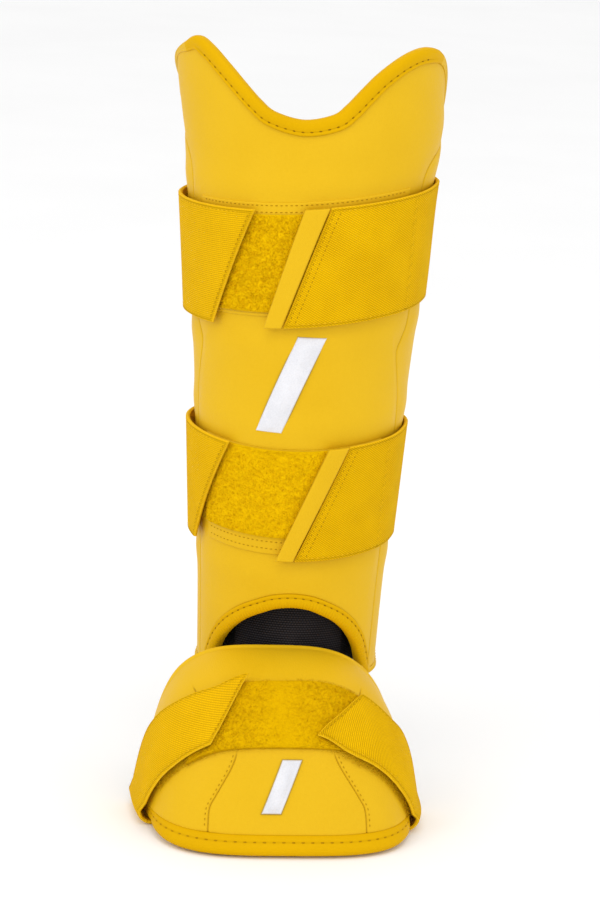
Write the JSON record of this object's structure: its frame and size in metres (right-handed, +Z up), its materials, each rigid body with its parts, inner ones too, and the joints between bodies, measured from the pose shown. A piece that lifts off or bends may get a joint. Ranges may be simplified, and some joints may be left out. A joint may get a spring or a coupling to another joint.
{
  "type": "leg guard",
  "caption": "Padded shin guard with a hooded foot guard, joined at the ankle by webbing and closed round the leg and foot by hook-and-loop straps.",
  "frame": {"origin": "on the axis of the lower leg at ankle height, 85 mm above the underside of the foot strap", "axes": "+Z up along the shin, -Y out of the front of the shin, +X to the wearer's left"},
  "size_m": [0.152, 0.189, 0.3955],
  "materials": {
    "leather": "smooth synthetic leather with a soft sheen",
    "elastic": "woven elastic",
    "loop_pile": "brushed loop pile",
    "lining": "matt knitted lining",
    "webbing": "ribbed nylon webbing",
    "badge": "moulded, satin"
  },
  "bodies": {
    "root": {"shin_front_panel": "leather", "shin_side_panel_left": "leather", "shin_side_panel_right": "leather", "shin_lining": "lining", "shin_top_binding": "leather", "ankle_binding": "leather", "upper_loop_panel": "loop_pile", "upper_strap": "elastic", "upper_tab": "leather", "lower_loop_panel": "loop_pile", "lower_strap": "elastic", "lower_tab": "leather", "foot_top_panel": "leather", "foot_side_panel_left": "leather", "foot_side_panel_right": "leather", "foot_rim": "leather", "foot_loop_panel": "loop_pile", "foot_strap": "elastic", "ankle_connector": "webbing", "shin_badge": "badge", "foot_badge": "badge"}
  },
  "joints": []
}
